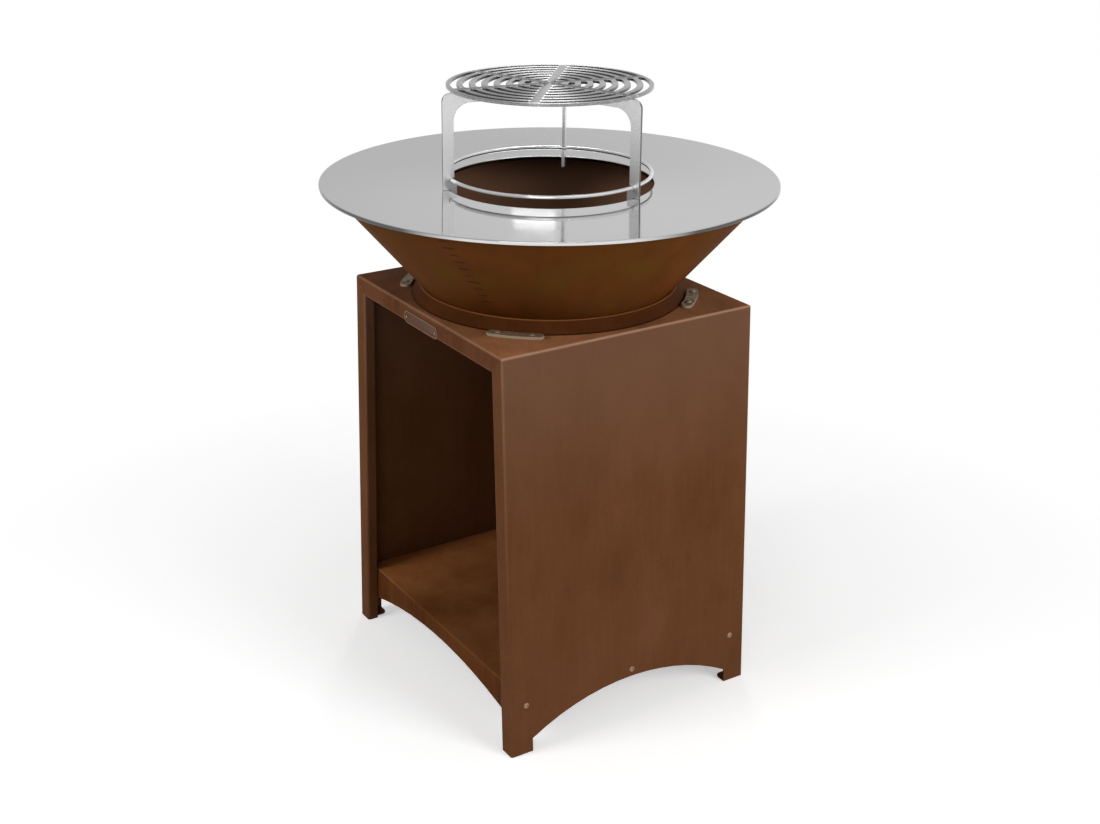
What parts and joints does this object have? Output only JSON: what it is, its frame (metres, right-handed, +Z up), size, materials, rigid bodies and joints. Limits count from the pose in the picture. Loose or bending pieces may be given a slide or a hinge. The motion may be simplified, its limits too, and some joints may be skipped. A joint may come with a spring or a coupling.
{
  "type": "barbecue grill",
  "caption": "Fire-bowl barbecue: a conical bowl under a broad round hotplate with a trivet and slotted grate, on an open, splayed sheet-steel cabinet with a shelf.",
  "frame": {"origin": "on the floor under the bowl's axis, the middle of the bounding box's base", "axes": "+Z up, -Y towards the cabinet's open front, +X to the right seen from the front"},
  "size_m": [0.8, 0.8, 1.0985],
  "materials": {
    "weathered_steel": "matt brown rust patina of weathering steel",
    "heated_weathered_steel": "darker, slightly oiled rust patina",
    "bare_steel_dull": "dull tarnished steel",
    "bare_steel_bright": "bright steel with a rust tint",
    "stainless_steel": "brushed stainless steel"
  },
  "bodies": {
    "cabinet": {"side_panel_left": "weathered_steel", "side_panel_right": "weathered_steel", "top_panel": "weathered_steel", "back_panel": "weathered_steel", "shelf": "weathered_steel", "shelf_rivet_left_1": "bare_steel_bright", "shelf_rivet_left_2": "bare_steel_bright", "shelf_rivet_left_3": "bare_steel_bright", "shelf_rivet_right_1": "bare_steel_bright", "shelf_rivet_right_2": "bare_steel_bright", "shelf_rivet_right_3": "bare_steel_bright", "arc_bracket_1": "bare_steel_dull", "arc_bracket_2": "bare_steel_dull", "arc_bracket_3": "bare_steel_dull", "arc_bracket_4": "bare_steel_dull", "bracket_screw_1": "bare_steel_bright", "bracket_screw_2": "bare_steel_bright", "bracket_screw_3": "bare_steel_bright", "bracket_screw_4": "bare_steel_bright", "bracket_screw_5": "bare_steel_bright", "bracket_screw_6": "bare_steel_bright", "bracket_screw_7": "bare_steel_bright", "bracket_screw_8": "bare_steel_bright"},
    "support_ring": {"support_ring": "weathered_steel"},
    "fire_bowl": {"fire_bowl": "heated_weathered_steel"},
    "hotplate": {"hotplate": "stainless_steel"},
    "trivet": {"trivet_ring": "stainless_steel", "trivet_leg_1": "stainless_steel", "trivet_leg_2": "stainless_steel", "trivet_leg_3": "stainless_steel"},
    "grate": {"grill_grate": "stainless_steel"}
  },
  "joints": [
    {"name": "ring_turn", "type": "hinge", "parent": "cabinet", "child": "support_ring", "pos_m": [0, 0, 0.727], "axis": [0, 0, 1], "continuous": true},
    {"name": "bowl_lift", "type": "slide", "parent": "support_ring", "child": "fire_bowl", "axis": [0, 0, 1], "range_m": [0, 0.25]},
    {"name": "hotplate_lift", "type": "slide", "parent": "fire_bowl", "child": "hotplate", "axis": [0, 0, 1], "range_m": [0, 0.25]},
    {"name": "trivet_lift", "type": "slide", "parent": "hotplate", "child": "trivet", "axis": [0, 0, 1], "range_m": [0, 0.2]},
    {"name": "grate_lift", "type": "slide", "parent": "trivet", "child": "grate", "axis": [0, 0, 1], "range_m": [0, 0.15]}
  ]
}
